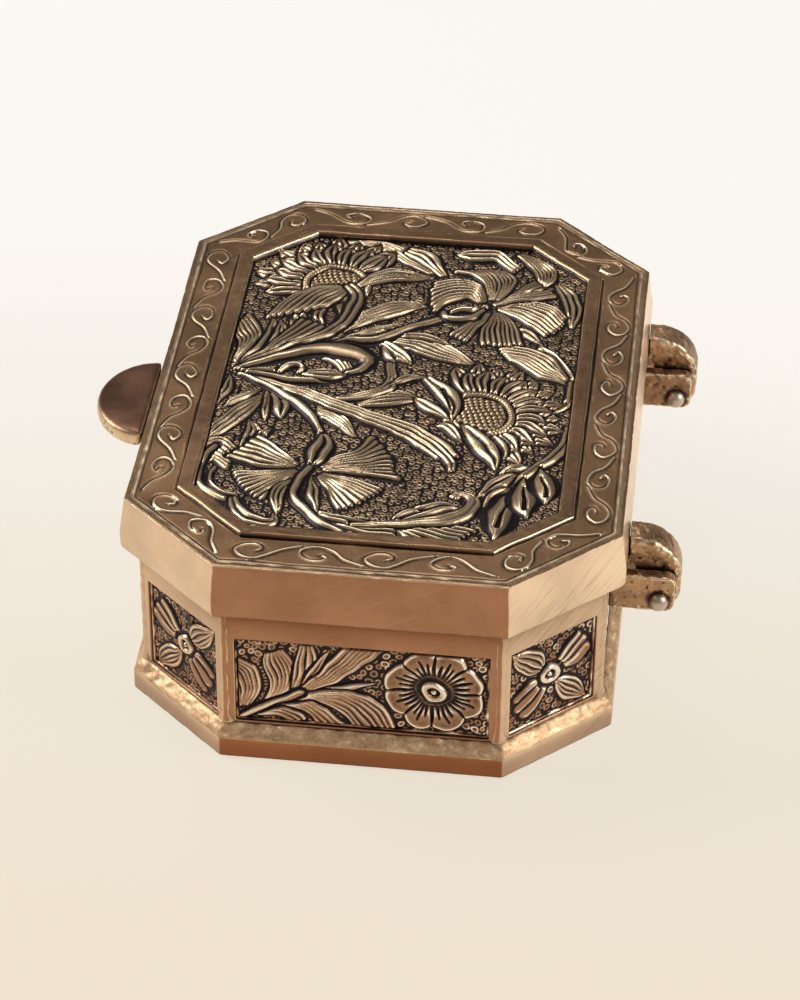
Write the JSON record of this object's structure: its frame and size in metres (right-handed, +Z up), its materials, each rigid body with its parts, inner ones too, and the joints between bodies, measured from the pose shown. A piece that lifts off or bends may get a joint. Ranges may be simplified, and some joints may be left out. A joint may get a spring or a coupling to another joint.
{
  "type": "hinged betel box",
  "caption": "Eight-sided cast brass betel-leaf box on a flared foot, with a lid chased with flowers, a thumb tab and pinned lug hinges.",
  "frame": {"origin": "centre of the flat underside of the foot, on the surface the box stands on", "axes": "+X along the length towards the right end, +Y towards the hinges, -Y towards the thumb tab, +Z up"},
  "size_m": [0.134, 0.1236, 0.0506],
  "materials": {
    "brushed_brass": "filed and brushed brass with a warm brown tone",
    "cast_side_brass": "cast brass, dark in the sunk ground and rubbed bright on the relief",
    "lid_brass": "brown toned brass with an engraved scroll border",
    "chased_brass": "chased relief, near black in the hollows and pale where it is rubbed",
    "hinge_brass": "rough filed cast brass with dark corners",
    "pin_brass": "smooth rubbed pin heads",
    "inside_brass": "dull unpolished brass sheet"
  },
  "bodies": {
    "box": {"foot_ring": "brushed_brass", "floor_plate": "inside_brass", "right_end_plate": "cast_side_brass", "back_right_corner_plate": "cast_side_brass", "back_side_plate": "cast_side_brass", "back_left_corner_plate": "cast_side_brass", "left_end_plate": "cast_side_brass", "front_left_corner_plate": "cast_side_brass", "front_side_plate": "cast_side_brass", "front_right_corner_plate": "cast_side_brass", "left_hinge_left_ear": "hinge_brass", "left_hinge_right_ear": "hinge_brass", "left_hinge_pin": "pin_brass", "right_hinge_left_ear": "hinge_brass", "right_hinge_right_ear": "hinge_brass", "right_hinge_pin": "pin_brass"},
    "lid": {"lid_shell": "lid_brass", "lid_relief_plate": "chased_brass", "lid_panel_frame": "lid_brass", "thumb_tab": "brushed_brass", "left_hinge_lug": "hinge_brass", "right_hinge_lug": "hinge_brass"}
  },
  "joints": [
    {"name": "lid_hinge", "type": "hinge", "parent": "box", "child": "lid", "pos_m": [0, 0.0575, 0.0298], "axis": [-1, 0, 0], "range_deg": [0, 180]}
  ]
}
